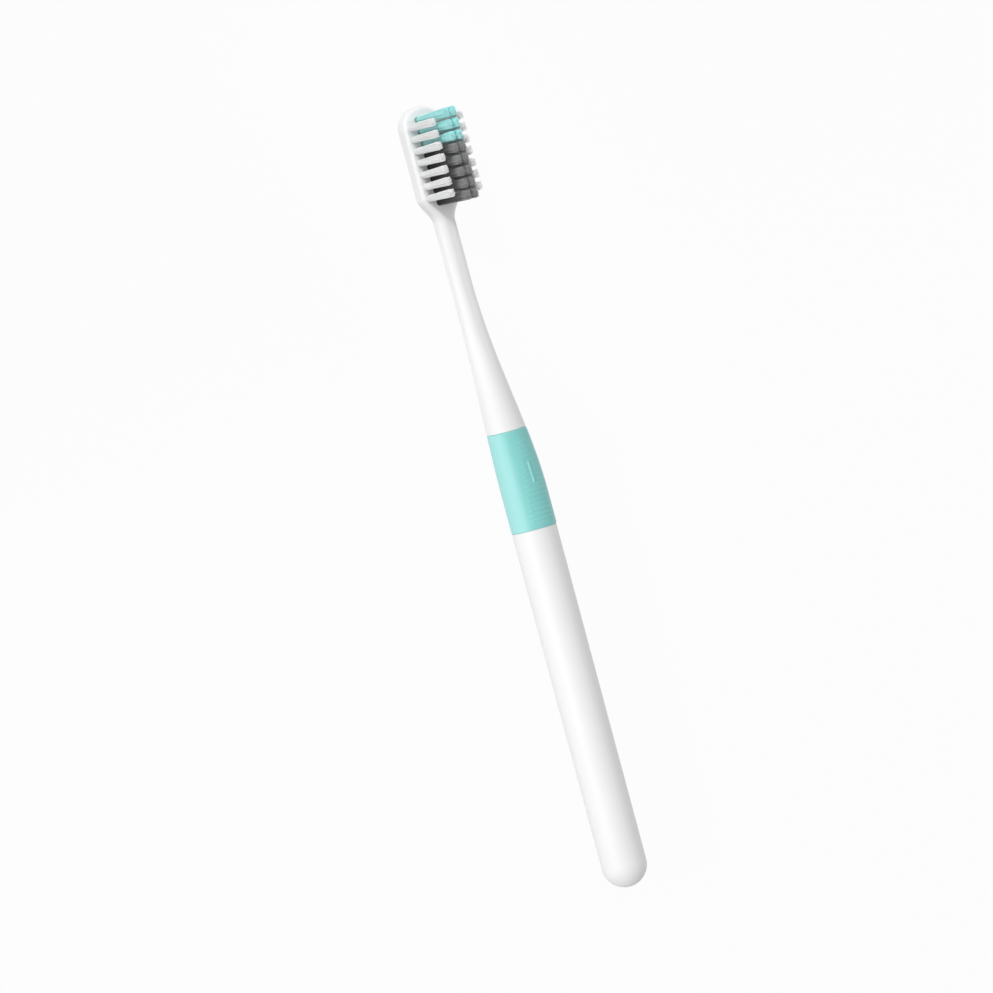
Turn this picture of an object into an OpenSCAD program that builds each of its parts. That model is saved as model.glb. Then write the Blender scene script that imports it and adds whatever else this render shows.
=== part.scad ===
// Manual toothbrush: one white moulding of head, neck and round handle, a rubber thumb grip
// moulded over a keyed core, and thirty bristle tufts held in blind holes by flat metal anchors.
// Millimetres. The brush lies on its back along X, with its head towards -X and its bristles up.

/* [Handle] */
// Diameter of the round handle
shank_d = 10.2; // [8:0.1:13]
// Length of the round handle below the grip, with its rounded end
shank_l = 82.8; // [60:0.5:110]
// Distance from the lower end of the grip to where the handle starts to thin
waist_lead = 7.5; // [2:0.5:12]
// Length over which the handle thins down to the neck
waist_l = 50; // [35:0.5:65]

/* [Neck] */
// Width of the neck
neck_w = 4.7; // [4:0.1:6.5]
// Thickness of the neck
neck_t = 4.2; // [3.4:0.1:5]
// Length of the even stretch of the neck
neck_l = 13.5; // [6:0.1:24]
// Length over which the neck widens to the head
shoulder_l = 6.2; // [4:0.1:10]
// How far round the neck's section is rounded, from 0 for a box to 1 for an oval
neck_corner_share = 0.8; // [0.4:0.05:0.95]

/* [Head] */
// Length of the head from its tip to the shoulder
head_l = 20; // [18:0.5:26]
// Width of the head
head_w = 10.4; // [10:0.1:14]
// Thickness of the head
head_t = 4.2; // [3.8:0.1:5.2]
// Rounding of the head's back edges
head_back_r = 2.1; // [0.6:0.05:2.3]
// Rounding of the edge around the bristle face
head_front_r = 0.8; // [0.4:0.05:0.9]
// Fullness of the head's rounded tip, 2 for an ellipse and more for squarer corners
tip_power = 2.25; // [2:0.05:3.5]

/* [Bristle field] */
// Distance from the tip of the head to the middle of the bristle field
field_from_tip = 12.25; // [11.8:0.05:12.8]
// Tufts in each outer row
outer_tufts = 7; // [5:1:7]
// Tufts in each inner row, which stands half a step off the outer row
inner_tufts = 8; // [5:1:8]
// Inner tufts of the accent colour, counted from the tip
accent_tufts = 3; // [0:1:5]
// Step between the tufts of a row
tuft_pitch = 2.69; // [2.4:0.01:2.75]
// Step between the rows
row_pitch = 2.47; // [2.3:0.01:2.5]
// Diameter of a tuft hole
hole_d = 1.5; // [1.4:0.05:1.8]
// Depth of a tuft hole
hole_depth = 3; // [2.6:0.05:3.1]

/* [Tufts] */
// Free length of the outer tufts above the head
outer_tuft_l = 9.9; // [7:0.1:12]
// Free length of the inner tufts above the head
inner_tuft_l = 12.3; // [7:0.1:13]
// Thickness of one strand
strand_d = 0.32; // [0.2:0.01:0.34]
// Strands in the middle ring of a tuft
mid_ring_strands = 4; // [3:1:5]
// Strands in the outer ring of a tuft
outer_ring_strands = 6; // [5:1:9]
// How far the outer ring leans out from root to tip
strand_spread = 0.25; // [0:0.01:0.3]
// Depth to which the strands run into the tuft's packed root
strand_root = 0.5; // [0.3:0.05:0.8]
// Gap between a tuft's root and its hole
tuft_fit = 0.03; // [0.01:0.01:0.06]

/* [Tuft anchors] */
// Width of an anchor, which bites into the wall on both sides of its hole
anchor_w = 1.9; // [1.85:0.05:2]
// Height of an anchor
anchor_h = 1.4; // [1:0.05:1.6]
// Thickness of an anchor's strip
anchor_t = 0.28; // [0.2:0.01:0.35]
// Thickness of the fold of bristle below the anchor
anchor_seat = 0.35; // [0.2:0.05:0.5]
// Turn of the anchors against the length of the brush, in degrees
anchor_turn = 20; // [0:5:45]
// Gap around an anchor
anchor_fit = 0.02; // [0.01:0.01:0.04]

/* [Grip] */
// Length of the rubber grip
grip_l = 22.6; // [18:0.2:34]
// How far the grip's front stands out from the handle
grip_proud = 0.15; // [0.05:0.05:0.6]
// Least thickness of the grip's rubber over the core
grip_wall = 0.7; // [0.5:0.05:1]
// Rounding of the grip's end edges
grip_edge_r = 0.3; // [0.1:0.05:0.4]
// Gap between the grip and what it is moulded on
grip_fit = 0.02; // [0.01:0.01:0.05]
// Width of the keys that stop the grip from turning on its core
key_w = 1.6; // [0.8:0.1:2.4]
// Height of the keys
key_h = 0.4; // [0.2:0.05:0.5]

/* [Thumb panel] */
// Width of the ribbed panel at its wide end
panel_w = 5.8; // [3:0.1:7]
// Plain length of the grip beyond each end of the ribbed panel
panel_margin = 1.3; // [0.8:0.1:3]
// Step between the ribs
rib_pitch = 1.1; // [0.9:0.05:2]
// Width of a rib
rib_w = 0.45; // [0.3:0.05:0.6]
// Height of a rib
rib_h = 0.12; // [0.08:0.01:0.3]
// Length of the plain bar on the middle of the panel
bar_l = 4.9; // [3:0.1:8]
// Width of the bar
bar_w = 0.5; // [0.3:0.05:1]
// Height of the bar
bar_h = 0.2; // [0.1:0.01:0.4]
// Distance of the bar from the upper end of the grip
bar_from_top = 7.5; // [4:0.1:9]
// Plain margin around the bar
bar_margin = 0.7; // [0.4:0.05:1]

/* [Hidden] */
// Places along X, from the end of the handle to the tip of the head
brush_l = shank_l + waist_lead + waist_l + neck_l + shoulder_l + head_l;
tail_x = brush_l / 2;
shank_x = tail_x - shank_l;
waist_x = shank_x - waist_lead;
neck_x = waist_x - waist_l;
shoulder_x = neck_x - neck_l;
head_x = shoulder_x - shoulder_l;
tip_x = head_x - head_l;
grip_x = shank_x - grip_l;
tip_l = head_w / 2;
bow_x = tip_x + tip_l;
field_x = tip_x + field_from_tip;
bar_x = grip_x + bar_from_top;
panel_x = grip_x + panel_margin;
panel_l = grip_l - 2 * panel_margin;
rib_count = floor(panel_l / rib_pitch);

// Section of the handle: nearly round ones keep a narrow flat, so that no two corners meet
round_share = 0.97;
thinning_power = 4;

// Finer steps make rounder surfaces
quarter_steps = 5;
tip_steps = 8;
shoulder_steps = 6;
waist_steps = 11;
edge_steps = 3;
round_fn = 60;
hole_fn = 28;

// Core under the grip, midway between the middle of the shank and that of the thinner upper end
grip_top_r = half_t(grip_x);
core_z = (grip_top_r + shank_d / 2) / 2;
core_r = grip_top_r - grip_wall - (core_z - grip_top_r);
core_root = 2;

// Roots of the tufts and of the ribs
hole_floor_z = head_t - hole_depth;
anchor_z = hole_floor_z + anchor_seat;
rib_root = grip_wall / 2;
strand_sides = 3;
root_sides = 8;
mid_ring_share = 0.42;
outer_ring_share = 0.8;
tip_taper_share = 0.85;
cut_over = 0.5;

// A tuft is [side, row, place from the tip], where side is -1 on the left and 1 on the right
sides = [-1, 1];
function row_tufts(row) = row == "outer" ? outer_tufts : inner_tufts;
TUFTS = [
    for (side = sides)
        for (row = ["outer", "inner"])
            for (place = [1 : row_tufts(row)])
                [side, row, place]
];
function tuft_name(tuft) = str("tuft_", tuft[0] < 0 ? "left" : "right", "_", tuft[1], "_", tuft[2]);
function tuft_x(tuft) = field_x + (tuft[2] - (row_tufts(tuft[1]) + 1) / 2) * tuft_pitch;
function tuft_y(tuft) = tuft[0] * row_pitch * (tuft[1] == "outer" ? 3 : 1) / 2;
function tuft_l(tuft) = tuft[1] == "outer" ? outer_tuft_l : inner_tuft_l;

// Smooth change from 0 to 1, level at both ends
function ease(s) = s <= 0 ? 0 : s >= 1 ? 1 : s * s * (3 - 2 * s);
function mix(from, to, share) = from + (to - from) * share;

// Shares along the brush: 1 where the handle is full, and 1 where the head is full
function waist_share(x) = ease((x - neck_x) / waist_l);
function head_share(x) = ease((shoulder_x - x) / shoulder_l);
function neck_share(x) = pow(1 - waist_share(x), thinning_power);

// Half sizes of a section. The back stays straight at z = 0, so the middle sinks as it thins.
function half_t(x, proud = 0) =
    mix(mix(neck_t / 2, (shank_d + proud) / 2, waist_share(x)), head_t / 2, head_share(x));
function half_w(x, proud = 0) =
    mix(half_t(x, proud) + (neck_w - neck_t) / 2 * neck_share(x), head_w / 2, head_share(x));
function corner_share(x) = mix(round_share, neck_corner_share, neck_share(x));

// Profile of one side at x, from the back to the front, as [distance in from the side, height]
function profile(x, proud, inset) =
    let (
        w = half_w(x, proud) - inset,
        t = half_t(x, proud) - inset,
        across = mix(w * corner_share(x), head_back_r, head_share(x)),
        up = mix(t * corner_share(x), head_back_r, head_share(x)),
        front_across = mix(w * corner_share(x), head_front_r, head_share(x)),
        front_up = mix(t * corner_share(x), head_front_r, head_share(x))
    )
    concat(
        [
            for (step = [0 : quarter_steps])
                let (turn = 90 * step / quarter_steps)
                    [inset + across * (1 - sin(turn)), inset + up * (1 - cos(turn))]
        ],
        [
            for (step = [0 : quarter_steps])
                let (turn = 90 * step / quarter_steps)
                    [inset + front_across * (1 - cos(turn)), inset + 2 * t - front_up * (1 - sin(turn))]
        ]
    );

// One side of a ring. Past the start of the round tip, bend turns it from 0 to 90 degrees.
function ring_side(x, bend, side, proud, inset) =
    [
        for (p = profile(x, proud, inset))
            let (
                reach = (tip_l - p[0]) * pow(sin(bend), 2 / tip_power),
                out = (half_w(x, proud) - p[0]) * pow(cos(bend), 2 / tip_power)
            )
                [x - reach, side * out, p[1]]
    ];
function reversed(list) = [for (i = [len(list) - 1 : -1 : 0]) list[i]];
function ring(x, bend = 0, proud = 0, inset = 0) =
    concat(ring_side(x, bend, -1, proud, inset), reversed(ring_side(x, bend, 1, proud, inset)));

// Solid through a list of rings, given from +X to -X. A folded one ends in a line, not in a cap.
module loft(rings, folded = false) {
    n = len(rings[0]);
    last = len(rings) - 1;
    function at(j, i) = folded && j == last && i >= n / 2 ? j * n + n - 1 - i : j * n + i;
    walls = [
        for (j = [0 : last - 1])
            for (i = [0 : n - 1])
                let (k = (i + 1) % n)
                    for (face = [[at(j, i), at(j + 1, i), at(j + 1, k)], [at(j, i), at(j + 1, k), at(j, k)]])
                        if (face[0] != face[1] && face[1] != face[2] && face[0] != face[2])
                            face
    ];
    caps = concat(
        [[for (i = [0 : n - 1]) at(0, i)]],
        folded ? [] : [[for (i = [n - 1 : -1 : 0]) at(last, i)]]
    );
    polyhedron([for (r = rings) each r], concat(walls, caps), convexity = 4);
}

// Neck, head and the thinning end of the handle above the grip
module upper_body() {
    waist_rings = [
        for (step = [0 : waist_steps])
            ring(mix(grip_x, neck_x, step / waist_steps))
    ];
    shoulder_rings = [
        for (step = [0 : shoulder_steps])
            ring(mix(shoulder_x, head_x, step / shoulder_steps))
    ];
    tip_rings = [
        for (step = [0 : tip_steps])
            ring(bow_x, 90 * step / tip_steps)
    ];
    loft(concat(waist_rings, shoulder_rings, tip_rings), folded = true);
}

// Round handle below the grip, with its ball end
module shank() {
    translate([shank_x, 0, shank_d / 2])
        rotate([0, 90, 0])
            cylinder(h = shank_l - shank_d / 2, d = shank_d, $fn = round_fn);
    translate([tail_x - shank_d / 2, 0, shank_d / 2])
        sphere(d = shank_d, $fn = round_fn);
}

// Core under the grip with a key on each side, grown by a gap when it is used as a cut
module core(grow = 0) {
    translate([grip_x - core_root, 0, core_z])
        rotate([0, 90, 0])
            cylinder(h = grip_l + 2 * core_root, r = core_r + grow, $fn = round_fn);
    key_reach = core_r + key_h + grow;
    translate([grip_x, -key_reach, core_z - key_w / 2 - grow])
        cube([grip_l, 2 * key_reach, key_w + 2 * grow]);
}

module tuft_hole(tuft) {
    translate([tuft_x(tuft), tuft_y(tuft), hole_floor_z])
        cylinder(h = hole_depth + cut_over, d = hole_d, $fn = hole_fn);
}

// Flat strip across a tuft hole, grown by a gap when it is used as a cut
module anchor(tuft, grow = 0) {
    translate([tuft_x(tuft), tuft_y(tuft), anchor_z - grow])
        rotate([0, 0, anchor_turn])
            translate([-anchor_w / 2 - grow, -anchor_t / 2 - grow, 0])
                cube([anchor_w + 2 * grow, anchor_t + 2 * grow, anchor_h + 2 * grow]);
}

// Head, neck and handle: one moulding
module handle() {
    color("white")
        difference() {
            union() {
                upper_body();
                core();
                shank();
            }
            for (tuft = TUFTS) {
                tuft_hole(tuft);
                anchor(tuft, anchor_fit);
            }
        }
}

// One rib of the thumb panel, an arc over the grip's front that leaves a plain field at the bar
module rib(x) {
    r = half_t(x, grip_proud);
    half_turn = asin(min(panel_w / 2 * sqrt((x - panel_x) / panel_l) / r, 1));
    beside_bar = x > bar_x - bar_margin && x < bar_x + bar_l + bar_margin;
    plain_turn = asin((bar_w / 2 + bar_margin) / r);
    arcs = beside_bar ? [[-half_turn, -plain_turn], [plain_turn, half_turn]] : [[-half_turn, half_turn]];
    translate([x, 0, r])
        rotate([0, -90, 0])
            for (arc = arcs)
                if (arc[1] > arc[0])
                    rotate([0, 0, arc[0]])
                        rotate_extrude(angle = arc[1] - arc[0], $fn = round_fn)
                            translate([r - rib_root, -rib_w / 2])
                                square([rib_root + rib_h, rib_w]);
}
// Plain bar, laid along the slope of the grip's front
module bar() {
    rise = 2 * (half_t(bar_x + bar_l, grip_proud) - half_t(bar_x, grip_proud));
    translate([bar_x, 0, 2 * half_t(bar_x, grip_proud)])
        rotate([0, -atan2(rise, bar_l), 0])
            translate([0, -bar_w / 2, -rib_root])
                cube([bar_l, bar_w, rib_root + bar_h]);
}

// Rubber grip with rounded ends, a ribbed thumb panel and a plain bar
module grip_sleeve() {
    low_x = shank_x - grip_fit;
    high_x = grip_x + grip_fit;
    edge = [for (step = [0 : edge_steps]) grip_edge_r * (1 - sin(90 * step / edge_steps))];
    edge_run = [for (step = [0 : edge_steps]) grip_edge_r * (1 - cos(90 * step / edge_steps))];
    run_low = low_x - grip_edge_r;
    run_high = high_x + grip_edge_r;
    rings = concat(
        [for (k = [0 : edge_steps]) ring(low_x - edge_run[k], 0, grip_proud, edge[k])],
        [for (k = [1 : waist_steps - 1]) ring(mix(run_low, run_high, k / waist_steps), 0, grip_proud)],
        [for (k = [edge_steps : -1 : 0]) ring(high_x + edge_run[k], 0, grip_proud, edge[k])]
    );
    color([0.6, 0.88, 0.86])
        difference() {
            union() {
                loft(rings);
                for (k = [1 : rib_count])
                    rib(panel_x + (k - 1 / 2) * rib_pitch);
                bar();
            }
            core(grip_fit);
        }
}

// All the anchors
module tuft_anchors() {
    color([0.78, 0.68, 0.42])
        for (tuft = TUFTS)
            anchor(tuft);
}

// Strands of a tuft as one polyhedron: a strand in the middle and two rings around it
module strands(length) {
    root_z = head_t - strand_root;
    tip_z = head_t + length;
    hole_r = hole_d / 2;
    layout = concat(
        [[0, 0]],
        [for (k = [0 : mid_ring_strands - 1]) [mid_ring_share, 360 * (k + 1 / 2) / mid_ring_strands]],
        [for (k = [0 : outer_ring_strands - 1]) [outer_ring_share, 360 * k / outer_ring_strands]]
    );
    ends = [[root_z, 0, 1], [tip_z, strand_spread, tip_taper_share]];
    points = [
        for (strand = layout)
            for (end = ends)
                for (side = [0 : strand_sides - 1])
                    let (
                        out = strand[0] * (hole_r + end[1] / outer_ring_share),
                        corner = strand[1] + 360 * (side + 1 / 2) / strand_sides,
                        reach = strand_d / 2 * end[2]
                    )
                        [
                            out * cos(strand[1]) + reach * cos(corner),
                            out * sin(strand[1]) + reach * sin(corner),
                            end[0]
                        ]
    ];
    faces = [
        for (strand = [0 : len(layout) - 1])
            let (low = 2 * strand_sides * strand, high = low + strand_sides)
                for (face = concat(
                    [for (k = [0 : strand_sides - 1]) [low + k, high + k, high + (k + 1) % strand_sides]],
                    [
                        for (k = [0 : strand_sides - 1])
                            [low + k, high + (k + 1) % strand_sides, low + (k + 1) % strand_sides]
                    ],
                    [for (k = [1 : strand_sides - 2]) [low, low + k, low + k + 1]],
                    [for (k = [1 : strand_sides - 2]) [high, high + k + 1, high + k]]
                ))
                    face
    ];
    polyhedron(points, faces, convexity = 6);
}

// One tuft: its strands, and the packed root that fills the hole around the anchor
module tuft(t) {
    accent = t[1] == "inner" && t[2] <= accent_tufts;
    color(t[1] == "outer" ? [0.93, 0.94, 0.94] : accent ? [0.36, 0.82, 0.78] : [0.42, 0.42, 0.42])
        difference() {
            translate([tuft_x(t), tuft_y(t), 0]) {
                strands(tuft_l(t));
                translate([0, 0, hole_floor_z + tuft_fit])
                    cylinder(h = hole_depth - tuft_fit, r = hole_d / 2 - tuft_fit, $fn = root_sides);
            }
            anchor(t, anchor_fit);
        }
}

handle();
grip_sleeve();
tuft_anchors();
for (t = TUFTS) tuft(t);
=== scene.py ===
import math
import random

import bmesh
import bpy
from mathutils import Matrix, Vector


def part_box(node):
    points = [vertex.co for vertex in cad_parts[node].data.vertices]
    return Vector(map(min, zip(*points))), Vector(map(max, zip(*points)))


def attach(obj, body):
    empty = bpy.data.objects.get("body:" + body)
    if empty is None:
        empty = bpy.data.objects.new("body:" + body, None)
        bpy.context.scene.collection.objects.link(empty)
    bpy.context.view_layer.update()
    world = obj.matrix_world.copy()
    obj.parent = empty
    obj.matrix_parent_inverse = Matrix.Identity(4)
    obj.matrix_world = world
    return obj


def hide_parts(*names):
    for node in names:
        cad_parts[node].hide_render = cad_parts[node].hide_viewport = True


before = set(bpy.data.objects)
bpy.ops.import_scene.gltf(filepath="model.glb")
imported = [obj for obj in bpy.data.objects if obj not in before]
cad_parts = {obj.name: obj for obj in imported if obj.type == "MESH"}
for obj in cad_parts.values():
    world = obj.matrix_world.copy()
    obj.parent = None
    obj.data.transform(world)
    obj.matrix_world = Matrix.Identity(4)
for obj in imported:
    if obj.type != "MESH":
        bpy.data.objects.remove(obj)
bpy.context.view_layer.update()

# Lengths are in millimetres up to the point where a mesh is made. Lamps, the floor and the camera's
# clipping are in metres.
MM = 0.001


def node_box(node):
    """Lowest and highest corner of a CAD node, in millimetres."""
    low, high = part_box(node)
    return low / MM, high / MM


# Places and sizes that come from the frame
HANDLE_LOW, HANDLE_HIGH = node_box("handle")
GRIP_LOW, GRIP_HIGH = node_box("grip_sleeve")
SHANK_D = HANDLE_HIGH.z - HANDLE_LOW.z
HEAD_W = HANDLE_HIGH.y - HANDLE_LOW.y
TIP_X = HANDLE_LOW.x
TAIL_X = HANDLE_HIGH.x
GRIP_L = GRIP_HIGH.x - GRIP_LOW.x

# The grip is moulded into its recess with this gap
GRIP_FIT = 0.02
SHANK_X = GRIP_HIGH.x + GRIP_FIT
GRIP_X = GRIP_LOW.x - GRIP_FIT

# Thinning of the handle to the neck
WAIST_LEAD = 7.5
WAIST_L = 50.0
WAIST_X = SHANK_X - WAIST_LEAD
NECK_X = WAIST_X - WAIST_L
THINNING_POWER = 4

# Neck and shoulder
NECK_W = 4.7
NECK_T = 4.2
SHOULDER_L = 6.2
HEAD_L = 20.0
HEAD_X = TIP_X + HEAD_L
SHOULDER_X = HEAD_X + SHOULDER_L
NECK_CORNER_SHARE = 0.8
ROUND_SHARE = 0.985

# Head
HEAD_T = 4.2
HEAD_BACK_R = 2.1
HEAD_FRONT_R = 0.8
TIP_POWER = 2.25
TIP_L = HEAD_W / 2
BOW_X = TIP_X + TIP_L

# Tuft holes
HOLE_D = 1.5
HOLE_DEPTH = 3.0

# Core that the grip is moulded on, and the moulding's rounded edge beside it
CORE_R = 3.2
LIP_R = 0.12

# Grip: its ribs, and the plain bar with the margin that the ribs leave round it
GRIP_PROUD = 0.15
GRIP_EDGE_R = 0.3
PANEL_W = 5.8
PANEL_MARGIN = 1.3
RIB_PITCH = 1.1
RIB_W = 0.45
RIB_H = 0.11
RIB_END_L = 0.8
BAR_L = 4.9
BAR_W = 0.5
BAR_H = 0.2
BAR_FLANK = 0.3
BAR_FROM_TOP = 7.5
BAR_MARGIN = 0.7
BAR_X = GRIP_X + BAR_FROM_TOP

# Tufts: filaments, and half sizes of the flared, squarish tips along and across the brush.
# A filament widens towards its end, so that the flared tuft stays full.
FILAMENT_ROOT_D = 0.19
FILAMENT_TIP_D = 0.25
FILAMENTS = 60
OUTER_TIP_HALF = (0.86, 0.86)
INNER_TIP_HALF = (0.98, 0.74)
OUTER_CROWN = 0.3
INNER_CROWN = 0.7
CORNER_ROUND_SHARE = 0.25
INNER_LEAN = 0.31
ROOT_SINK = 0.06
ROOT_CUT = 0.7
ACCENT_TUFTS = 3

# Unevenness of the filaments: root, end and bow as shares of a filament's width, and the end's height
ROOT_SHIFT_SHARE = 0.1
TIP_SHIFT_SHARE = 0.2
BOW_SHARE = 0.2
TIP_HEIGHT_SPREAD = 0.03

# Fineness of the meshes. A filament's rings lie at shares of its length, and at turns of its ball end.
QUARTER_STEPS = 14
TIP_STEPS = 26
SHOULDER_STEPS = 22
WAIST_STEPS = 70
SHANK_STEPS = 30
BALL_STEPS = 22
LIP_STEPS = 4
GRIP_EDGE_STEPS = 6
GRIP_STEP = 0.07
HOLE_SIDES = 32
FILAMENT_SIDES = 6
FILAMENT_RING_SHARES = (0.0, 0.3, 0.6)
FILAMENT_END_TURNS = (0, 35, 62, 80)

# Turns between the grip's points in degrees: over the bar, over the ribs, and the number for the back
BAR_TURN = 0.5
BAR_TURNS = 25
RIB_TURN = 1.0
RIB_TURNS = 30
BACK_TURNS = 46

# Points closer than this are joined, in metres, and edges sharper than these angles stay sharp
JOIN_DISTANCE = 1e-7
MOULDING_SHARP = 40
GRIP_SHARP = 60
FILAMENT_SHARP = 50

# Colours, as red, green, blue and alpha. The plain grey is only what a shader group starts with.
WHITE_COLOUR = (0.92, 0.92, 0.92, 1)
MINT_COLOUR = (0.4, 0.81, 0.79, 1)
# The mint edge colour is a painted highlight on the grip's raised edges.
MINT_EDGE_HIGHLIGHT = (0.62, 0.93, 0.9, 1)
# The thumb tint is painted shade, which darkens the grip's upward-facing side.
THUMB_PAINTED_SHADE = (0.63, 0.83, 0.82, 1)
BRASS_COLOUR = (0.78, 0.66, 0.4, 1)
PURE_WHITE = (1, 1, 1, 1)
PLAIN_GREY = (0.8, 0.8, 0.8, 1)

# Bristle finishes: the root colour is painted shade that fades out over root_length millimetres, and the tip
# colour is painted light
BRISTLES = {
    "bristle_white": {
        "colour": (0.96, 0.97, 0.97, 1),
        "root_shade_colour": (0.92, 0.93, 0.93, 1),
        "tip_light_colour": (0.99, 0.99, 0.99, 1),
        "root_length": 3.0,
        "gloss": 0.5,
        "sheen": 0.15,
        "clearness": 0.2,
    },
    "bristle_mint": {
        "colour": (0.48, 0.95, 0.93, 1),
        "root_shade_colour": (0.22, 0.44, 0.43, 1),
        "tip_light_colour": (0.48, 0.95, 0.94, 1),
        "root_length": 1.3,
        "gloss": 0.5,
        "sheen": 0.15,
        "clearness": 0.2,
    },
    "bristle_grey": {
        "colour": (0.16, 0.16, 0.16, 1),
        "root_shade_colour": (0.045, 0.045, 0.045, 1),
        "tip_light_colour": (0.33, 0.33, 0.33, 1),
        "root_length": 9.0,
        "gloss": 0.1,
        "sheen": 0.0,
        "clearness": 0.0,
    },
}

# Filaments: the tips' painted light sets in between two distances below the tip, streaks run lengthways, and
# light spreads CLEAR_DEPTH millimetres inside
TIP_FADE_FROM = 3.2
TIP_FADE_TO = 0.8
STREAK_SCALE = (5200.0, 5200.0, 120.0)
STREAK_AMOUNT = 0.16
CLEAR_DEPTH = 0.5

# Depth of the fine grain on plastic and rubber, and on metal
GRAIN_DEPTH = 0.1
METAL_GRAIN_DEPTH = 0.05

# Sockets of a Mix node that mixes colours
MIX_A = 6
MIX_B = 7
MIX_RESULT = 2

# The photograph: its size, and where the handle's axis crosses it
PHOTO_SIZE = 993
AXIS_PIXEL = (535.0, 532.0)
PIXELS_PER_MM = 4.497
AXIS_X = 7.92
LEAN = math.radians(15.03)
ELEVATION = math.radians(57.5)
CAMERA_DISTANCE = 1400.0
SQUARE_ON_X = -80.0
SENSOR = 36.0
CLIP_START = 0.01
CLIP_END = 10.0

# Light: a bright half of the room towards this side, and a dimmer one behind it
BRIGHT_SIDE = (-0.6, -0.8, 0.05)
BRIGHT_LEVEL = 0.83
DIM_LEVEL = 0.41
EDGE_SOFTNESS = 0.3

# Floor: the share of pure white that the camera sees, and the grey that lights the brush from below
FLOOR_SIZE = 6.0
FLOOR_WHITE_SHARE = 0.96
FLOOR_COLOUR = (0.62, 0.62, 0.62, 1)


def ease(share):
    """Smooth change from 0 to 1, level at both ends."""
    share = min(max(share, 0.0), 1.0)
    return share * share * (3 - 2 * share)


def mix(start, end, share):
    return start + (end - start) * share


def quarter_turns(steps):
    """Angles from 0 to 90 degrees, in radians."""
    return [math.radians(90 * step / steps) for step in range(steps + 1)]


# Section of the moulding
def waist_share(x):
    return ease((x - NECK_X) / WAIST_L)


def head_share(x):
    return ease((SHOULDER_X - x) / SHOULDER_L)


def neck_share(x):
    return (1 - waist_share(x)) ** THINNING_POWER


def half_thickness(x, proud=0.0):
    """Half the thickness at x. The back stays straight, so the middle sinks as the handle thins."""
    handle = mix(NECK_T / 2, (SHANK_D + proud) / 2, waist_share(x))
    return mix(handle, HEAD_T / 2, head_share(x))


def half_width(x, proud=0.0):
    handle = half_thickness(x, proud) + (NECK_W - NECK_T) / 2 * neck_share(x)
    return mix(handle, HEAD_W / 2, head_share(x))


def profile(x):
    """One side of the section at x from back to front, as (distance in from the side, height)."""
    rounding = mix(ROUND_SHARE, NECK_CORNER_SHARE, neck_share(x))
    wide = half_width(x)
    thick = half_thickness(x)
    back = [mix(size * rounding, HEAD_BACK_R, head_share(x)) for size in (wide, thick)]
    front = [mix(size * rounding, HEAD_FRONT_R, head_share(x)) for size in (wide, thick)]
    turns = quarter_turns(QUARTER_STEPS)
    points = [(back[0] * (1 - math.sin(a)), back[1] * (1 - math.cos(a))) for a in turns]
    points += [(front[0] * (1 - math.cos(a)), 2 * thick - front[1] * (1 - math.sin(a))) for a in turns]
    return points


def with_mirror(left):
    """A closed ring from its left side's points."""
    return left + [Vector((p.x, -p.y, p.z)) for p in reversed(left)]


def body_ring(x, bend=0.0):
    """Section ring at x. Past the start of the head's round tip, bend turns it from 0 to 90 degrees."""
    along = math.sin(bend) ** (2 / TIP_POWER)
    across = max(math.cos(bend), 0.0) ** (2 / TIP_POWER) if bend < math.pi / 2 else 0.0
    left = []
    for step_in, height in profile(x):
        reach = (TIP_L - step_in) * along
        out = (half_width(x) - step_in) * across
        left.append(Vector((x - reach, -out, height)))
    return with_mirror(left)


def round_ring(x, radius, middle):
    """Round ring with as many points as a section ring, and its points in the same order."""
    turns = [math.radians(90 * (step + 0.25) / (QUARTER_STEPS + 0.5)) for step in range(QUARTER_STEPS + 1)]
    left = [Vector((x, -radius * math.sin(a), middle - radius * math.cos(a))) for a in turns]
    left += [Vector((x, -radius * math.cos(a), middle + radius * math.sin(a))) for a in turns]
    return with_mirror(left)


# Meshes
def new_piece(name, mesh):
    piece = bpy.data.objects.new(name, mesh)
    bpy.context.scene.collection.objects.link(piece)
    return piece


def mesh_from(name, points, faces):
    """Mesh in metres from points in millimetres."""
    mesh = bpy.data.meshes.new(name)
    mesh.from_pydata([tuple(p * MM) for p in points], [], faces)
    mesh.validate()
    return mesh


def clean_mesh(mesh):
    """Joins points that lie together and turns every face outwards."""
    shape = bmesh.new()
    shape.from_mesh(mesh)
    bmesh.ops.remove_doubles(shape, verts=shape.verts, dist=JOIN_DISTANCE)
    bmesh.ops.recalc_face_normals(shape, faces=shape.faces)
    shape.to_mesh(mesh)
    shape.free()


def smooth_mesh(mesh, sharp_angle):
    mesh.shade_smooth()
    mesh.set_sharp_from_angle(angle=math.radians(sharp_angle))


def ring_faces(low, high, count):
    """Faces between two closed rings whose first points are low and high."""
    faces = []
    for i in range(count):
        k = (i + 1) % count
        faces.append((low + i, high + i, high + k, low + k))
    return faces


def loft(name, rings):
    """Closed mesh through rings of equal length, with a cap at each end."""
    count = len(rings[0])
    last = (len(rings) - 1) * count
    faces = []
    for first in range(0, last, count):
        faces += ring_faces(first, first + count, count)
    faces.append(tuple(reversed(range(count))))
    faces.append(tuple(range(last, last + count)))
    mesh = mesh_from(name, [p for ring in rings for p in ring], faces)
    clean_mesh(mesh)
    return mesh


def add_prism(points, faces, rings):
    """Adds a closed solid through level rings, from the lowest up, to points and faces."""
    count = len(rings[0])
    first = len(points)
    last = first + (len(rings) - 1) * count
    for ring in rings:
        points += ring
    for low in range(first, last, count):
        for side in range(count):
            after = (side + 1) % count
            faces.append((low + side, low + after, low + count + after, low + count + side))
    faces.append(tuple(first + side for side in reversed(range(count))))
    faces.append(tuple(last + side for side in range(count)))


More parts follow.
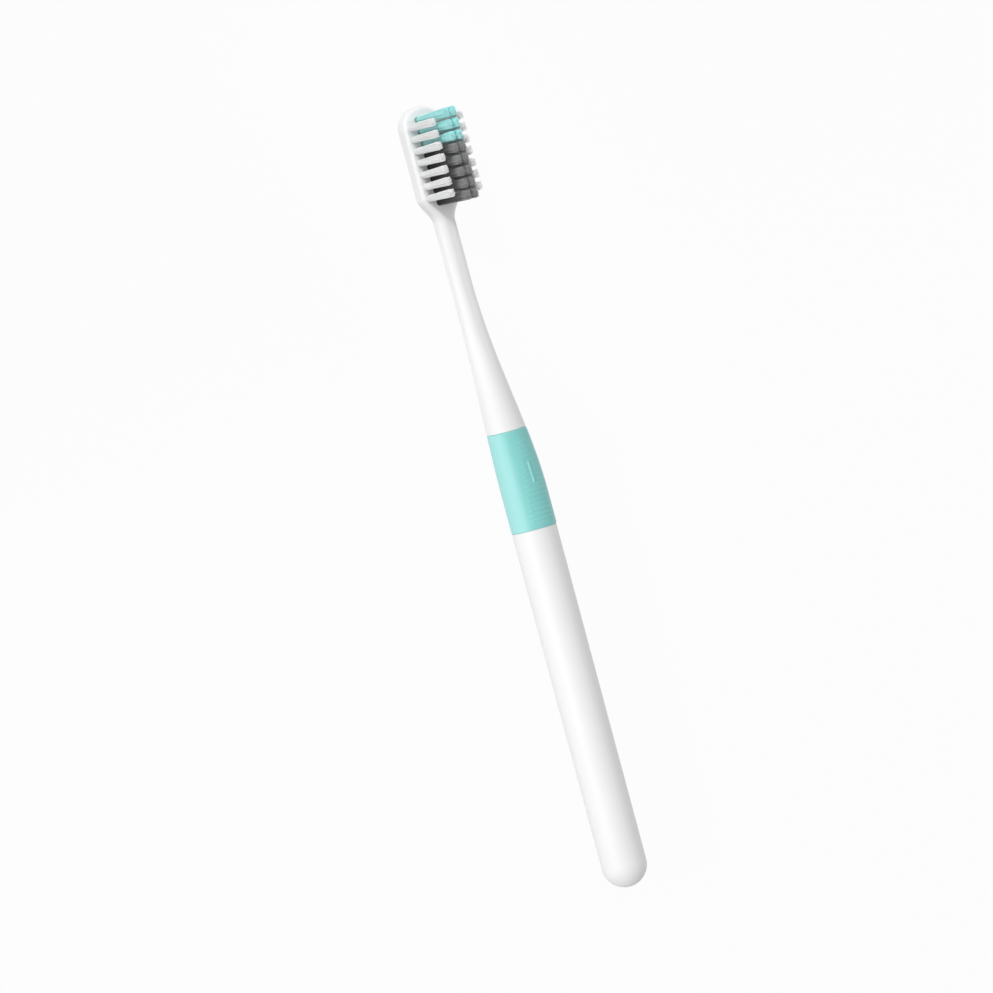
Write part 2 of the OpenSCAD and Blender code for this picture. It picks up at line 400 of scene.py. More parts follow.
def level_ring(middle, radius, sides):
    """Level ring of points round a middle."""
    turns = [2 * math.pi * side / sides for side in range(sides)]
    return [middle + Vector((math.cos(turn), math.sin(turn), 0)) * radius for turn in turns]


def hole_rings(middle, radius, low, high):
    """Two level rings round the middle of a tuft hole, at the heights low and high."""
    return [level_ring(Vector((middle.x, middle.y, z)), radius, HOLE_SIDES) for z in (low, high)]


def apply_modifiers(piece):
    """Replaces a piece's mesh by what its modifiers make of it."""
    graph = bpy.context.evaluated_depsgraph_get()
    made = bpy.data.meshes.new_from_object(piece.evaluated_get(graph))
    piece.modifiers.clear()
    old = piece.data
    piece.data = made
    bpy.data.meshes.remove(old)


# Handle, neck and head
def ball_rings():
    """Rounded end of the handle, from its pole to the round shank."""
    radius = SHANK_D / 2
    rings = []
    for turn in quarter_turns(BALL_STEPS)[1:]:
        rings.append(round_ring(TAIL_X - radius * (1 - math.cos(turn)), radius * math.sin(turn), radius))
    return rings


def lip_rings(x, inward, radius):
    """Rounded edge of the white moulding where it meets the grip, from its end face outwards."""
    rings = []
    for turn in quarter_turns(LIP_STEPS):
        edge_x = x + inward * LIP_R * (1 - math.sin(turn))
        rings.append(round_ring(edge_x, radius - LIP_R * (1 - math.cos(turn)), radius))
    return rings


def handle_rings():
    """Rings of the whole moulding from the tail to the tip of the head."""
    radius = SHANK_D / 2
    top_r = half_thickness(GRIP_X)
    core_z = (top_r + radius) / 2
    start = TAIL_X - radius
    rings = ball_rings()
    for step in range(1, SHANK_STEPS):
        rings.append(round_ring(mix(start, SHANK_X + LIP_R, step / SHANK_STEPS), radius, radius))
    rings += lip_rings(SHANK_X, 1, radius)
    rings.append(round_ring(SHANK_X, CORE_R, core_z))
    rings.append(round_ring(GRIP_X, CORE_R, core_z))
    rings += reversed(lip_rings(GRIP_X, -1, top_r))
    for step in range(1, WAIST_STEPS + 1):
        rings.append(body_ring(mix(GRIP_X - LIP_R, NECK_X, step / WAIST_STEPS)))
    for step in range(SHOULDER_STEPS + 1):
        rings.append(body_ring(mix(SHOULDER_X, HEAD_X, step / SHOULDER_STEPS)))
    for turn in quarter_turns(TIP_STEPS):
        rings.append(body_ring(BOW_X, turn))
    return rings


def tuft_names():
    return sorted(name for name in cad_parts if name.startswith("tuft_") and name != "tuft_anchors")


def tuft_place(name):
    """Middle of a tuft on the head, and the height of its tip."""
    low, high = node_box(name)
    return Vector(((low.x + high.x) / 2, (low.y + high.y) / 2, HEAD_T)), high.z


def hole_cutter():
    """All the tuft holes as one mesh of cylinders."""
    points, faces = [], []
    for name in tuft_names():
        middle, _ = tuft_place(name)
        add_prism(points, faces, hole_rings(middle, HOLE_D / 2, HEAD_T - HOLE_DEPTH, HEAD_T + HEAD_FRONT_R))
    cutter = new_piece("hole_cutter", mesh_from("hole_cutter", points, faces))
    clean_mesh(cutter.data)
    return cutter


def make_handle(material):
    piece = new_piece("handle_moulding", loft("handle_moulding", handle_rings()))
    cutter = hole_cutter()
    drill = piece.modifiers.new("tuft_holes", "BOOLEAN")
    drill.operation = "DIFFERENCE"
    drill.solver = "EXACT"
    drill.object = cutter
    apply_modifiers(piece)
    bpy.data.objects.remove(cutter)
    smooth_mesh(piece.data, MOULDING_SHARP)
    even = piece.modifiers.new("even_shading", "WEIGHTED_NORMAL")
    even.keep_sharp = True
    apply_modifiers(piece)
    piece.data.materials.append(material)
    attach(piece, "root")
    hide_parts("handle")


# Grip
def rib_height(x, turn, radius):
    """Height of the thumb panel's ribs at x, where turn is the angle from the front in radians."""
    panel_x = GRIP_X + PANEL_MARGIN
    panel_l = GRIP_L - 2 * PANEL_MARGIN
    if not panel_x < x < panel_x + panel_l:
        return 0.0
    nearest = panel_x + (math.floor((x - panel_x) / RIB_PITCH) + 0.5) * RIB_PITCH
    if nearest > panel_x + math.floor(panel_l / RIB_PITCH) * RIB_PITCH:
        return 0.0
    half_turn = math.asin(min(PANEL_W / 2 * math.sqrt((nearest - panel_x) / panel_l) / radius, 1.0))
    crest = ease(1 - (abs(x - nearest) / (RIB_W / 2)) ** 2 / 2)
    fade = RIB_END_L / radius
    inside = ease((half_turn - abs(turn)) / fade + 0.5)
    if BAR_X - BAR_MARGIN < nearest < BAR_X + BAR_L + BAR_MARGIN:
        plain_turn = (BAR_W / 2 + BAR_MARGIN) / radius
        inside *= ease((abs(turn) - plain_turn) / fade + 0.5)
    return RIB_H * crest * inside


def bar_height(x, turn, radius):
    """Height of the plain bar at x."""
    past_end = max(BAR_X + BAR_W / 2 - x, x - BAR_X - BAR_L + BAR_W / 2, 0.0)
    off = math.hypot(past_end, turn * radius)
    return BAR_H * ease((BAR_W / 2 - off) / BAR_FLANK + 0.5)


def grip_turns():
    """Angles around the grip, closest together at the front, where the bar and the ribs are."""
    rib_start = BAR_TURN * BAR_TURNS
    back_start = rib_start + RIB_TURN * (RIB_TURNS + 1)
    half = [BAR_TURN * k for k in range(BAR_TURNS)]
    half += [rib_start + RIB_TURN * k for k in range(1, RIB_TURNS + 1)]
    half += [mix(back_start, 180, k / BACK_TURNS) for k in range(1, BACK_TURNS + 1)]
    half = [math.radians(turn) for turn in half]
    return [-turn for turn in reversed(half[1:-1])] + half


def grip_places():
    """Places along the grip's outside from the handle to the neck, as (x, depth below the full size)."""
    turns = quarter_turns(GRIP_EDGE_STEPS)
    edge = [(GRIP_EDGE_R * (1 - math.cos(a)), GRIP_EDGE_R * (1 - math.sin(a))) for a in turns]
    steps = round(GRIP_L / GRIP_STEP)
    inner_high = GRIP_HIGH.x - GRIP_EDGE_R
    inner_low = GRIP_LOW.x + GRIP_EDGE_R
    places = [(GRIP_HIGH.x - in_from_end, depth) for in_from_end, depth in edge]
    places += [(mix(inner_high, inner_low, k / steps), 0.0) for k in range(1, steps)]
    places += [(GRIP_LOW.x + in_from_end, depth) for in_from_end, depth in reversed(edge)]
    return places


def grip_rings():
    """Rings of the grip's outside, then of its bore, which fits the handle's core."""
    turns = grip_turns()
    rings = []
    for x, depth in grip_places():
        radius = half_thickness(x, GRIP_PROUD)
        ring = []
        for turn in turns:
            reach = radius - depth + rib_height(x, turn, radius) + bar_height(x, turn, radius)
            ring.append(Vector((x, -reach * math.sin(turn), radius + reach * math.cos(turn))))
        rings.append(ring)
    bore = CORE_R + GRIP_FIT
    core_z = (half_thickness(GRIP_X) + SHANK_D / 2) / 2
    for x in (GRIP_LOW.x, GRIP_HIGH.x):
        rings.append([Vector((x, -bore * math.sin(a), core_z + bore * math.cos(a))) for a in turns])
    return rings


def make_grip(material):
    rings = grip_rings()
    count = len(rings[0])
    faces = []
    for j in range(len(rings)):
        faces += ring_faces(j * count, (j + 1) % len(rings) * count, count)
    mesh = mesh_from("grip_rubber", [p for ring in rings for p in ring], faces)
    clean_mesh(mesh)
    smooth_mesh(mesh, GRIP_SHARP)
    mesh.materials.append(material)
    piece = new_piece("grip_rubber", mesh)
    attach(piece, "root")
    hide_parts("grip_sleeve")


# Tufts
def filament_layout(count):
    """Places of the filaments in a tuft of radius 1: an even spiral, as (distance out, angle)."""
    golden = math.pi * (3 - math.sqrt(5))
    return [(math.sqrt((k + 0.5) / count), golden * k) for k in range(count)]


def square_place(out, turn):
    """Place in a square of half size 1 with slightly rounded corners for a place in a circle of radius 1."""
    turn = math.remainder(turn, 2 * math.pi)
    quarter = round(turn / (math.pi / 2))
    off = (turn - quarter * math.pi / 2) / (math.pi / 4)
    square = Vector((out, out * off, 0))
    square.rotate(Matrix.Rotation(quarter * math.pi / 2, 3, "Z"))
    circle = Vector((math.cos(turn), math.sin(turn), 0)) * out
    return square.lerp(circle, CORNER_ROUND_SHARE)


def small_shift(draw, most):
    return Vector((draw.uniform(-most, most), draw.uniform(-most, most), 0))


def filament_rings(root, tip, bow):
    """Rings of one filament with a ball end, bowed to one side between root and tip."""
    ball = FILAMENT_TIP_D / 2
    turns = [math.radians(turn) for turn in FILAMENT_END_TURNS]
    steps = [(share, 0.0, 1.0) for share in FILAMENT_RING_SHARES]
    steps += [(1.0, ball * (1 - math.sin(turn)), math.cos(turn)) for turn in turns]
    rings = []
    for share, below_tip, width in steps:
        middle = root.lerp(tip, share) + bow * math.sin(math.pi * share) - Vector((0, 0, below_tip))
        reach = mix(FILAMENT_ROOT_D, FILAMENT_TIP_D, share) / 2 * width
        rings.append(level_ring(middle, reach, FILAMENT_SIDES))
    return rings


def packed_root(middle):
    """Root of the tuft, which fills its hole up to just below the face of the head."""
    low = HEAD_T - HOLE_DEPTH + GRIP_FIT
    return hole_rings(middle, HOLE_D / 2 - GRIP_FIT, low, HEAD_T - ROOT_SINK)


def make_tuft(name, seed, material):
    draw = random.Random(seed)
    middle, tip_z = tuft_place(name)
    inner = "inner" in name
    half = INNER_TIP_HALF if inner else OUTER_TIP_HALF
    crown = INNER_CROWN if inner else OUTER_CROWN
    lean = Vector((0, -math.copysign(INNER_LEAN, middle.y), 0)) if inner else Vector()
    radius = HOLE_D / 2 - FILAMENT_ROOT_D / 2 - GRIP_FIT
    points, faces = [], []
    add_prism(points, faces, packed_root(middle))
    for out, turn in filament_layout(FILAMENTS):
        root = Vector((math.cos(turn), math.sin(turn), 0)) * out * radius
        place = square_place(out, turn)
        flare = Vector((place.x * half[0], place.y * half[1], 0))
        root_shift = small_shift(draw, FILAMENT_ROOT_D * ROOT_SHIFT_SHARE)
        start = middle + root + root_shift - Vector((0, 0, ROOT_CUT))
        end = middle + flare + lean + small_shift(draw, FILAMENT_TIP_D * TIP_SHIFT_SHARE)
        end.z = tip_z - crown * (place.x ** 2 + place.y ** 2) / 2 - abs(draw.gauss(0, TIP_HEIGHT_SPREAD))
        bow = small_shift(draw, FILAMENT_ROOT_D * BOW_SHARE)
        add_prism(points, faces, filament_rings(start, end, bow))
    mesh = mesh_from(name + "_filaments", points, faces)
    smooth_mesh(mesh, FILAMENT_SHARP)
    mesh.materials.append(material)
    piece = new_piece(name + "_filaments", mesh)
    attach(piece, "root")
    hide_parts(name)
    return piece


def tuft_kind(name):
    """Slot of a tuft's filaments, from its place on the head."""
    row, place = name.split("_")[2:4]
    if row == "outer":
        return "bristle_white"
    return "bristle_mint" if int(place) <= ACCENT_TUFTS else "bristle_grey"


# Shader groups
def start_group(name, inputs, outputs):
    """Shader node group with named sockets, and its input and output nodes."""
    group = bpy.data.node_groups.new(name, "ShaderNodeTree")
    for socket, kind, value in inputs:
        made = group.interface.new_socket(name=socket, in_out="INPUT", socket_type="NodeSocket" + kind)
        made.default_value = value
    for socket, kind in outputs:
        group.interface.new_socket(name=socket, in_out="OUTPUT", socket_type="NodeSocket" + kind)
    return group, group.nodes.new("NodeGroupInput"), group.nodes.new("NodeGroupOutput")


def add(tree, kind, **values):
    """Node of a kind in a tree. A value sets the node's property, or its input socket of that name."""
    made = tree.nodes.new("ShaderNode" + kind)
    for name, value in values.items():
        if hasattr(made, name):
            setattr(made, name, value)
        else:
            made.inputs[name.replace("_", " ")].default_value = value
    return made


def add_math(tree, operation, number):
    """Math node whose second input is a plain number."""
    made = add(tree, "Math", operation=operation)
    made.inputs[1].default_value = number
    return made


def tone_drift_group():
    """A colour that drifts a little lighter and darker over the surface."""
    group, start, end = start_group(
        "tone_drift",
        [("Colour", "Color", PLAIN_GREY), ("Amount", "Float", 0.03), ("Scale", "Float", 60.0)],
        [("Colour", "Color")],
    )
    place = add(group, "TexCoord")
    cloud = add(group, "TexNoise", Detail=3.0, Roughness=0.55)
    spread = add(group, "MapRange", To_Min=-1.0, To_Max=1.0)
    amount = add(group, "Math", operation="MULTIPLY")
    value = add_math(group, "ADD", 1.0)
    shade = add(group, "HueSaturation")
    link = group.links.new
    link(place.outputs["Object"], cloud.inputs["Vector"])
    link(start.outputs["Scale"], cloud.inputs["Scale"])
    link(cloud.outputs["Fac"], spread.inputs["Value"])
    link(spread.outputs["Result"], amount.inputs[0])
    link(start.outputs["Amount"], amount.inputs[1])
    link(amount.outputs[0], value.inputs[0])
    link(value.outputs[0], shade.inputs["Value"])
    link(start.outputs["Colour"], shade.inputs["Color"])
    link(shade.outputs["Color"], end.inputs["Colour"])
    return group


def satin_skin_group():
    """Uneven gloss and a fine moulded grain."""
    group, start, end = start_group(
        "satin_skin",
        [
            ("Roughness", "Float", 0.3),
            ("Spread", "Float", 0.05),
            ("Patch Scale", "Float", 90.0),
            ("Grain Scale", "Float", 2500.0),
        ],
        [("Roughness", "Float"), ("Height", "Float")],
    )
    place = add(group, "TexCoord")
    patches = add(group, "TexNoise", Detail=4.0, Roughness=0.6)
    grain = add(group, "TexNoise", Detail=2.0, Roughness=0.5)
    centred = add_math(group, "SUBTRACT", 0.5)
    scaled = add(group, "Math", operation="MULTIPLY")
    total = add(group, "Math", operation="ADD", use_clamp=True)
    link = group.links.new
    for cloud, scale in ((patches, "Patch Scale"), (grain, "Grain Scale")):
        link(place.outputs["Object"], cloud.inputs["Vector"])
        link(start.outputs[scale], cloud.inputs["Scale"])
    link(patches.outputs["Fac"], centred.inputs[0])
    link(centred.outputs[0], scaled.inputs[0])
    link(start.outputs["Spread"], scaled.inputs[1])
    link(scaled.outputs[0], total.inputs[0])
    link(start.outputs["Roughness"], total.inputs[1])
    link(total.outputs[0], end.inputs["Roughness"])
    link(grain.outputs["Fac"], end.inputs["Height"])
    return group


def painted_edge_highlight_group():
    """Painted highlight: a colour that changes to another one on raised edges."""
    group, start, end = start_group(
        "painted_edge_highlight",
        [("Colour", "Color", PLAIN_GREY), ("Edge Colour", "Color", PURE_WHITE), ("Amount", "Float", 0.5)],
        [("Colour", "Color")],
    )
    shape = add(group, "NewGeometry")
    edge = add(group, "MapRange", From_Min=0.5, From_Max=0.62)
    amount = add(group, "Math", operation="MULTIPLY")
    blend = add(group, "Mix", data_type="RGBA")
    link = group.links.new
    link(shape.outputs["Pointiness"], edge.inputs["Value"])
    link(edge.outputs["Result"], amount.inputs[0])
    link(start.outputs["Amount"], amount.inputs[1])
    link(amount.outputs[0], blend.inputs["Factor"])
    link(start.outputs["Colour"], blend.inputs[MIX_A])
    link(start.outputs["Edge Colour"], blend.inputs[MIX_B])
    link(blend.outputs[MIX_RESULT], end.inputs["Colour"])
    return group


def filament_tone_group():
    """Filament colour: streaks from strand to strand, painted shade at the root and painted light towards
    the cut end.
    """
    group, start, end = start_group(
        "filament_tone",
        [
            ("Colour", "Color", PLAIN_GREY),
            ("Root Colour", "Color", (0.4, 0.4, 0.4, 1)),
            ("Tip Colour", "Color", (0.9, 0.9, 0.9, 1)),
            ("Root Height", "Float", 4.2 * MM),
            ("Root Length", "Float", 3.0 * MM),
            ("Tip Height", "Float", 13.5 * MM),
            ("Streaks", "Float", 0.08),
        ],
        [("Colour", "Color"), ("Roughness", "Float")],
    )
    place = add(group, "TexCoord")
    split = add(group, "SeparateXYZ")
    # Painted shade: the darker root colour fades into the filament colour above the head
    rooted = add(group, "MapRange", interpolation_type="SMOOTHSTEP")
    root_end = add(group, "Math", operation="ADD")
    from_root = add(group, "Mix", data_type="RGBA")
    # Painted light: the filament colour fades into the lighter tip colour near the tip
    tipped = add(group, "MapRange", interpolation_type="SMOOTHSTEP")
    tip_start = add_math(group, "SUBTRACT", TIP_FADE_FROM * MM)
    tip_end = add_math(group, "SUBTRACT", TIP_FADE_TO * MM)
    to_tip = add(group, "Mix", data_type="RGBA")
    stretch = add(group, "Mapping", Scale=STREAK_SCALE)
    streak = add(group, "TexNoise", Scale=1.0, Detail=1.0)
    centred = add_math(group, "SUBTRACT", 0.5)
    scaled = add(group, "Math", operation="MULTIPLY")
    value = add_math(group, "ADD", 1.0)
    shade = add(group, "HueSaturation")
    gloss = add(group, "MapRange", To_Min=0.32, To_Max=0.55)
    link = group.links.new
    link(place.outputs["Object"], split.inputs[0])
    link(place.outputs["Object"], stretch.inputs["Vector"])
    link(stretch.outputs["Vector"], streak.inputs["Vector"])
    link(split.outputs["Z"], rooted.inputs["Value"])
    link(start.outputs["Root Height"], rooted.inputs["From Min"])
    link(start.outputs["Root Height"], root_end.inputs[0])
    link(start.outputs["Root Length"], root_end.inputs[1])
    link(root_end.outputs[0], rooted.inputs["From Max"])
    link(rooted.outputs["Result"], from_root.inputs["Factor"])
    link(start.outputs["Root Colour"], from_root.inputs[MIX_A])
    link(start.outputs["Colour"], from_root.inputs[MIX_B])
    link(split.outputs["Z"], tipped.inputs["Value"])
    link(start.outputs["Tip Height"], tip_start.inputs[0])
    link(tip_start.outputs[0], tipped.inputs["From Min"])
    link(start.outputs["Tip Height"], tip_end.inputs[0])
    link(tip_end.outputs[0], tipped.inputs["From Max"])
    link(tipped.outputs["Result"], to_tip.inputs["Factor"])
    link(from_root.outputs[MIX_RESULT], to_tip.inputs[MIX_A])
    link(start.outputs["Tip Colour"], to_tip.inputs[MIX_B])
    link(streak.outputs["Fac"], centred.inputs[0])
    link(centred.outputs[0], scaled.inputs[0])
    link(start.outputs["Streaks"], scaled.inputs[1])
    link(scaled.outputs[0], value.inputs[0])
    link(value.outputs[0], shade.inputs["Value"])
    link(to_tip.outputs[MIX_RESULT], shade.inputs["Color"])
    link(streak.outputs["Fac"], gloss.inputs["Value"])
    link(shade.outputs["Color"], end.inputs["Colour"])
    link(gloss.outputs["Result"], end.inputs["Roughness"])
    return group


# Materials
def start_material(name, **settings):
    """Material with a Principled shader, whose even values are set on its own sockets."""
    material = bpy.data.materials.new(name)
    material.use_nodes = True
    tree = material.node_tree
    shader = tree.nodes["Principled BSDF"]
    for socket, value in settings.items():
        shader.inputs[socket.replace("_", " ")].default_value = value
    return material, tree, shader


def use_group(tree, group, **values):
    made = tree.nodes.new("ShaderNodeGroup")
    made.node_tree = group
    for socket, value in values.items():
        made.inputs[socket.replace("_", " ")].default_value = value
    return made


def add_skin(tree, shader, skin, strength, depth):
    """Roughness and a fine bump from a skin group, whose depth is in millimetres."""
    bump = add(tree, "Bump", Strength=strength, Distance=depth * MM)
    tree.links.new(skin.outputs["Roughness"], shader.inputs["Roughness"])
    tree.links.new(skin.outputs["Height"], bump.inputs["Height"])
    tree.links.new(bump.outputs["Normal"], shader.inputs["Normal"])


def white_plastic_material(groups):
    material, tree, shader = start_material("white_plastic", IOR=1.49, Coat_Weight=0.12, Coat_Roughness=0.45)
    tone = use_group(tree, groups["tone_drift"], Colour=WHITE_COLOUR, Amount=0.012, Scale=45.0)
    skin = use_group(
        tree, groups["satin_skin"], Roughness=0.54, Spread=0.1, Patch_Scale=110.0, Grain_Scale=3200.0
    )
    tree.links.new(tone.outputs["Colour"], shader.inputs["Base Color"])
    add_skin(tree, shader, skin, 0.04, GRAIN_DEPTH)
    return material


def grip_rubber_material(groups):
    """Satin mint rubber with painted shade on its upward-facing thumb side, where the texture is, and a
    painted highlight on its raised edges.
    """
    material, tree, shader = start_material(
        "grip_rubber", IOR=1.5, Specular_IOR_Level=0.4, Sheen_Weight=0.12, Sheen_Roughness=0.4
    )
    tone = use_group(tree, groups["tone_drift"], Colour=MINT_COLOUR, Amount=0.03, Scale=120.0)
    # Painted highlight on the raised edges of the ribs and the bar
    edge = use_group(tree, groups["painted_edge_highlight"], Edge_Colour=MINT_EDGE_HIGHLIGHT, Amount=0.15)
    skin = use_group(
        tree, groups["satin_skin"], Roughness=0.48, Spread=0.14, Patch_Scale=260.0, Grain_Scale=4200.0
    )
    # Painted shade: the grip's upward-facing side is multiplied by the thumb tint
    shape = add(tree, "NewGeometry")
    facing = add(tree, "SeparateXYZ")
    upward_shade_mask = add(tree, "MapRange", interpolation_type="SMOOTHSTEP", From_Min=0.35, From_Max=0.9)
    painted_shade_mix = add(tree, "Mix", data_type="RGBA", blend_type="MULTIPLY")
    painted_shade_mix.inputs[MIX_B].default_value = THUMB_PAINTED_SHADE
    tree.links.new(shape.outputs["Normal"], facing.inputs[0])
    tree.links.new(facing.outputs["Z"], upward_shade_mask.inputs["Value"])
    tree.links.new(upward_shade_mask.outputs["Result"], painted_shade_mix.inputs["Factor"])
    tree.links.new(tone.outputs["Colour"], painted_shade_mix.inputs[MIX_A])
    tree.links.new(painted_shade_mix.outputs[MIX_RESULT], edge.inputs["Colour"])
    tree.links.new(edge.outputs["Colour"], shader.inputs["Base Color"])
    add_skin(tree, shader, skin, 0.12, GRAIN_DEPTH)
    return material


def bristle_material(name, groups, tip_height):
    finish = BRISTLES[name]
    material, tree, shader = start_material(
        name,
        IOR=1.53,
        Specular_IOR_Level=finish["gloss"],
        Sheen_Weight=finish["sheen"],
        Sheen_Roughness=0.5,
        Subsurface_Weight=finish["clearness"],
        Subsurface_Radius=(1.0, 1.0, 1.0),
        Subsurface_Scale=CLEAR_DEPTH * MM,
    )
    tone = use_group(
        tree,
        groups["filament_tone"],
        Colour=finish["colour"],
        Root_Colour=finish["root_shade_colour"],
        Tip_Colour=finish["tip_light_colour"],
        Root_Height=HEAD_T * MM,
        Root_Length=finish["root_length"] * MM,
        Tip_Height=tip_height * MM,
        Streaks=STREAK_AMOUNT,
    )
    tree.links.new(tone.outputs["Colour"], shader.inputs["Base Color"])
    tree.links.new(tone.outputs["Roughness"], shader.inputs["Roughness"])
    return material


def anchor_metal_material(groups):
    material, tree, shader = start_material("anchor_metal", Metallic=1.0)
    tone = use_group(tree, groups["tone_drift"], Colour=BRASS_COLOUR, Amount=0.06, Scale=900.0)
    skin = use_group(
        tree, groups["satin_skin"], Roughness=0.32, Spread=0.2, Patch_Scale=1400.0, Grain_Scale=6000.0
    )
    tree.links.new(tone.outputs["Colour"], shader.inputs["Base Color"])
    add_skin(tree, shader, skin, 0.1, METAL_GRAIN_DEPTH)
    return material


def make_materials():
    groups = {
        "tone_drift": tone_drift_group(),
        "satin_skin": satin_skin_group(),
        "painted_edge_highlight": painted_edge_highlight_group(),
        "filament_tone": filament_tone_group(),
    }
    outer_tip = node_box("tuft_left_outer_1")[1].z
    inner_tip = node_box("tuft_left_inner_1")[1].z
    return {
        "white_plastic": white_plastic_material(groups),
        "grip_rubber": grip_rubber_material(groups),
        "anchor_metal": anchor_metal_material(groups),
        "bristle_white": bristle_material("bristle_white", groups, outer_tip),
        "bristle_mint": bristle_material("bristle_mint", groups, inner_tip),
        "bristle_grey": bristle_material("bristle_grey", groups, inner_tip),
    }


# Stage
def hang_lamp(name, lamp, place, aim):
    """Hangs a lamp that the camera doesn't see at a place and turns it to a point, both in metres."""
    made = bpy.data.objects.new(name, lamp)
    bpy.context.scene.collection.objects.link(made)
    made.location = place
    made.visible_camera = False
    made.rotation_mode = "QUATERNION"
    made.rotation_quaternion = (Vector(aim) - Vector(place)).to_track_quat("-Z", "Y")


def add_softbox(name, place, aim, size, power):
    """Square soft lamp."""
    lamp = bpy.data.lights.new(name, "AREA")
    lamp.shape = "RECTANGLE"
    lamp.size, lamp.size_y = size
    lamp.energy = power
    hang_lamp(name, lamp, place, aim)


def add_spot(name, place, aim, radius, power, cone, blend):
    """Round soft lamp whose light reaches only a part of the brush, inside a cone given in degrees."""
    lamp = bpy.data.lights.new(name, "SPOT")
    lamp.energy = power
    lamp.shadow_soft_size = radius
    lamp.spot_size = math.radians(cone)
    lamp.spot_blend = blend
    hang_lamp(name, lamp, place, aim)


def make_lamps():
    """Spots on the brush's left for the handle, the neck and the head, and a weak softbox on its right."""
    add_spot(
        "handle_spot",
        place=(0.01, -0.5, 0.185),
        aim=(0.05, 0, 0),
        radius=0.02,
        power=3.95,
        cone=24.0,
        blend=0.55,
    )
    add_spot(
        "neck_spot",
        place=(-0.055, -0.5, 0.02),
        aim=(-0.055, 0, 0.004),
        radius=0.02,
        power=1.4,
        cone=6.4,
        blend=0.9,
    )
    add_softbox("right_fill", place=(-0.1, 0.9, 0.25), aim=(0, 0, 0), size=(0.6, 0.4), power=0.66)
    add_spot(
        "head_spot",
        place=(-0.238, -0.13, 0.155),
        aim=(-0.083, 0, 0.006),
        radius=0.03,
        power=2.2,
        cone=11.0,
        blend=0.7,
    )


def camera_ray_mask(tree):
    """1 for rays from the camera and for those that gloss and clear pieces send on."""
    path = add(tree, "LightPath")
    first = add(tree, "Math", operation="MAXIMUM")
    both = add(tree, "Math", operation="MAXIMUM")
    tree.links.new(path.outputs["Is Camera Ray"], first.inputs[0])
    tree.links.new(path.outputs["Is Glossy Ray"], first.inputs[1])
    tree.links.new(first.outputs[0], both.inputs[0])
    tree.links.new(path.outputs["Is Transmission Ray"], both.inputs[1])
    return both.outputs[0]


def make_world():
    """White room that is brighter towards one side."""
    world = bpy.data.worlds.new("studio")
    bpy.context.scene.world = world
    world.use_nodes = True
    tree = world.node_tree
    tree.nodes.clear()
    place = add(tree, "TexCoord")
    side = add(tree, "VectorMath", operation="DOT_PRODUCT")
    side.inputs[1].default_value = BRIGHT_SIDE
    level = add(
        tree,
        "MapRange",
        interpolation_type="SMOOTHSTEP",
        From_Min=-EDGE_SOFTNESS,
        From_Max=EDGE_SOFTNESS,
        To_Min=DIM_LEVEL,
        To_Max=BRIGHT_LEVEL,
    )
    lit = add(tree, "Background", Color=PURE_WHITE)
    seen = add(tree, "Background", Color=PURE_WHITE, Strength=1.0)
    blend = add(tree, "MixShader")
    end = add(tree, "OutputWorld")
    tree.links.new(place.outputs["Generated"], side.inputs[0])
    tree.links.new(side.outputs["Value"], level.inputs["Value"])
    tree.links.new(level.outputs["Result"], lit.inputs["Strength"])
    tree.links.new(camera_ray_mask(tree), blend.inputs[0])
    tree.links.new(lit.outputs[0], blend.inputs[1])
    tree.links.new(seen.outputs[0], blend.inputs[2])
    tree.links.new(blend.outputs[0], end.inputs["Surface"])


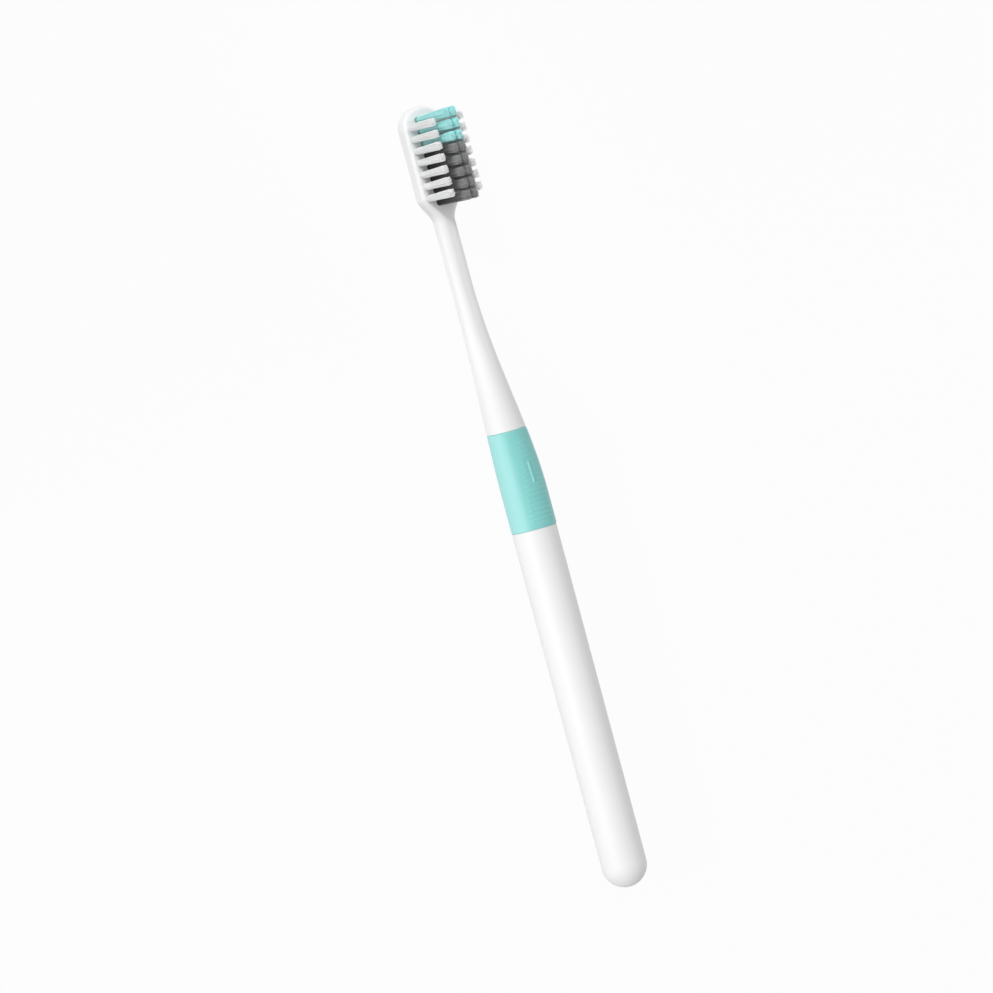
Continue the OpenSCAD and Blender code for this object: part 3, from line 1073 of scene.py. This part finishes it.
def make_floor():
    """White floor that keeps the object's shadow."""
    half = FLOOR_SIZE / 2
    mesh = bpy.data.meshes.new("floor")
    corners = [(-half, -half, 0), (half, -half, 0), (half, half, 0), (-half, half, 0)]
    mesh.from_pydata(corners, [], [(0, 1, 2, 3)])
    floor = new_piece("floor", mesh)
    material = bpy.data.materials.new("floor_white")
    material.use_nodes = True
    tree = material.node_tree
    tree.nodes.clear()
    paper = add(tree, "BsdfDiffuse", Color=FLOOR_COLOUR)
    white = add(tree, "Emission", Color=PURE_WHITE, Strength=1.0)
    share = add_math(tree, "MULTIPLY", FLOOR_WHITE_SHARE)
    blend = add(tree, "MixShader")
    end = add(tree, "OutputMaterial")
    tree.links.new(camera_ray_mask(tree), share.inputs[0])
    tree.links.new(share.outputs[0], blend.inputs[0])
    tree.links.new(paper.outputs[0], blend.inputs[1])
    tree.links.new(white.outputs[0], blend.inputs[2])
    tree.links.new(blend.outputs[0], end.inputs["Surface"])
    mesh.materials.append(material)


def make_camera():
    """Camera at the photograph's angle, with the brush where the photograph has it."""
    to_bristles = Vector((0, math.sin(ELEVATION), math.cos(ELEVATION)))
    to_tail = Vector((1, 0, 0))
    to_camera = Vector((0, -math.cos(ELEVATION), math.sin(ELEVATION)))
    right = to_bristles * math.cos(LEAN) + to_tail * math.sin(LEAN)
    up = to_bristles * math.sin(LEAN) - to_tail * math.cos(LEAN)
    off_right = (PHOTO_SIZE / 2 - AXIS_PIXEL[0]) / PIXELS_PER_MM
    off_up = (AXIS_PIXEL[1] - PHOTO_SIZE / 2) / PIXELS_PER_MM
    aim = Vector((AXIS_X, 0, SHANK_D / 2)) + right * off_right + up * off_up
    place = Vector((SQUARE_ON_X, 0, SHANK_D / 2)) + to_camera * CAMERA_DISTANCE
    back = (place - aim).normalized()
    right = (right - back * right.dot(back)).normalized()
    up = back.cross(right)
    camera = bpy.data.objects.new("photo_camera", bpy.data.cameras.new("photo_camera"))
    bpy.context.scene.collection.objects.link(camera)
    camera.matrix_world = Matrix.LocRotScale(place * MM, Matrix((right, up, back)).transposed(), None)
    camera.data.sensor_width = SENSOR
    camera.data.lens = PIXELS_PER_MM * (place - aim).length / PHOTO_SIZE * SENSOR
    camera.data.clip_start = CLIP_START
    camera.data.clip_end = CLIP_END
    bpy.context.scene.camera = camera


def make_stage():
    bpy.context.scene.view_settings.view_transform = "Standard"
    make_world()
    make_floor()
    make_lamps()
    make_camera()


def make_brush():
    materials = make_materials()
    make_handle(materials["white_plastic"])
    make_grip(materials["grip_rubber"])
    for seed, name in enumerate(tuft_names()):
        kind = tuft_kind(name)
        make_tuft(name, seed, materials[kind])
    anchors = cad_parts["tuft_anchors"]
    anchors.data.materials.clear()
    anchors.data.materials.append(materials["anchor_metal"])


make_stage()
make_brush()
